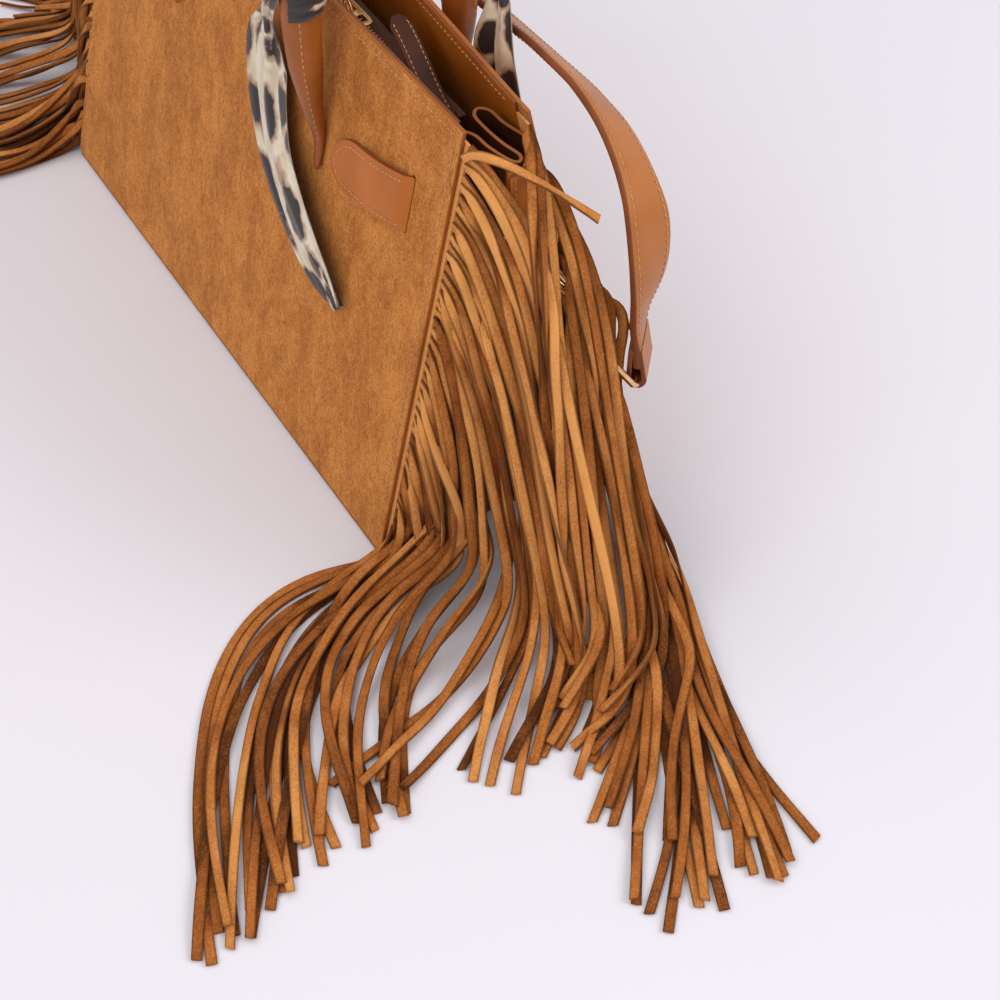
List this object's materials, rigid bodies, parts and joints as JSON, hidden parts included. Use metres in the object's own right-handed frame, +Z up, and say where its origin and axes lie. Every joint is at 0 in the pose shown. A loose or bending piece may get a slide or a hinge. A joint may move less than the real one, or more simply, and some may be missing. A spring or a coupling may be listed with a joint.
{
  "type": "fringed tote bag",
  "caption": "Suede tote with long side fringe, two rolled handles with printed scarves, a zipped centre pocket and a shoulder strap on snap hooks.",
  "frame": {"origin": "centre of the underside of the base", "axes": "+Z up, front panel faces -Y, +X to the right seen from the front"},
  "size_m": [0.8852, 0.3263, 0.3293],
  "materials": {
    "suede": "matte",
    "fringe": "matte",
    "leather": "satin",
    "dark_leather": "satin",
    "gold": "polished",
    "silk": "satin"
  },
  "bodies": {
    "bag": {"front_panel": "suede", "back_panel": "suede", "front_facing": "leather", "back_facing": "leather", "base_panel": "suede", "gusset_right": "dark_leather", "gusset_left": "dark_leather", "fringe_front_right": "fringe", "fringe_front_left": "fringe", "fringe_back_right": "fringe", "fringe_back_left": "fringe", "front_strap_right": "leather", "front_strap_left": "leather", "handle_front": "leather", "handle_back": "leather", "scarf_front": "silk", "scarf_back": "silk", "centre_pocket": "dark_leather", "zip_tape_front": "dark_leather", "zip_tape_back": "dark_leather", "zip_teeth_front": "gold", "zip_teeth_back": "gold", "zip_end_tab": "leather", "ring_tab_right": "leather", "ring_tab_left": "leather", "hook_eye_right": "gold", "hook_eye_left": "gold", "shoulder_strap": "leather"},
    "zip_slider": {"zip_slider": "gold"},
    "zip_puller": {"zip_puller": "gold"},
    "ring_right": {"d_ring_right": "gold"},
    "ring_left": {"d_ring_left": "gold"},
    "hook_right": {"snap_hook_right": "gold"},
    "hook_left": {"snap_hook_left": "gold"},
    "gate_right": {"hook_gate_right": "gold"},
    "gate_left": {"hook_gate_left": "gold"}
  },
  "joints": [
    {"name": "zip_slide", "type": "slide", "parent": "bag", "child": "zip_slider", "axis": [1, 0, 0], "range_m": [-0.15, 0.022]},
    {"name": "zip_puller_hinge", "type": "hinge", "parent": "zip_slider", "child": "zip_puller", "pos_m": [0.036, 0, 0.2039], "axis": [0, -1, 0], "range_deg": [0, 95]},
    {"name": "ring_right_swing", "type": "hinge", "parent": "bag", "child": "ring_right", "pos_m": [0.19329, 0.0038, 0.186], "axis": [0, 1, 0], "range_deg": [-5, 7]},
    {"name": "ring_left_swing", "type": "hinge", "parent": "bag", "child": "ring_left", "pos_m": [-0.19329, 0.0038, 0.186], "axis": [0, -1, 0], "range_deg": [-5, 7]},
    {"name": "hook_right_swivel", "type": "hinge", "parent": "bag", "child": "hook_right", "pos_m": [0.20084, 0.0038, 0.17292], "axis": [0.3936, 0.5059, -0.7676], "range_deg": [-10, 10]},
    {"name": "hook_left_swivel", "type": "hinge", "parent": "bag", "child": "hook_left", "pos_m": [-0.20084, 0.0038, 0.17292], "axis": [-0.3936, 0.5059, -0.7676], "range_deg": [-10, 10]},
    {"name": "gate_right_hinge", "type": "hinge", "parent": "hook_right", "child": "gate_right", "pos_m": [0.21641, 0.01523, 0.159], "axis": [0.2308, -0.8626, -0.4502], "range_deg": [0, 24], "stiffness_Nm_per_rad": 0.01, "springref_deg": -17.19},
    {"name": "gate_left_hinge", "type": "hinge", "parent": "hook_left", "child": "gate_left", "pos_m": [-0.21641, 0.01523, 0.159], "axis": [0.2308, 0.8626, 0.4502], "range_deg": [0, 24], "stiffness_Nm_per_rad": 0.01, "springref_deg": -17.19}
  ]
}
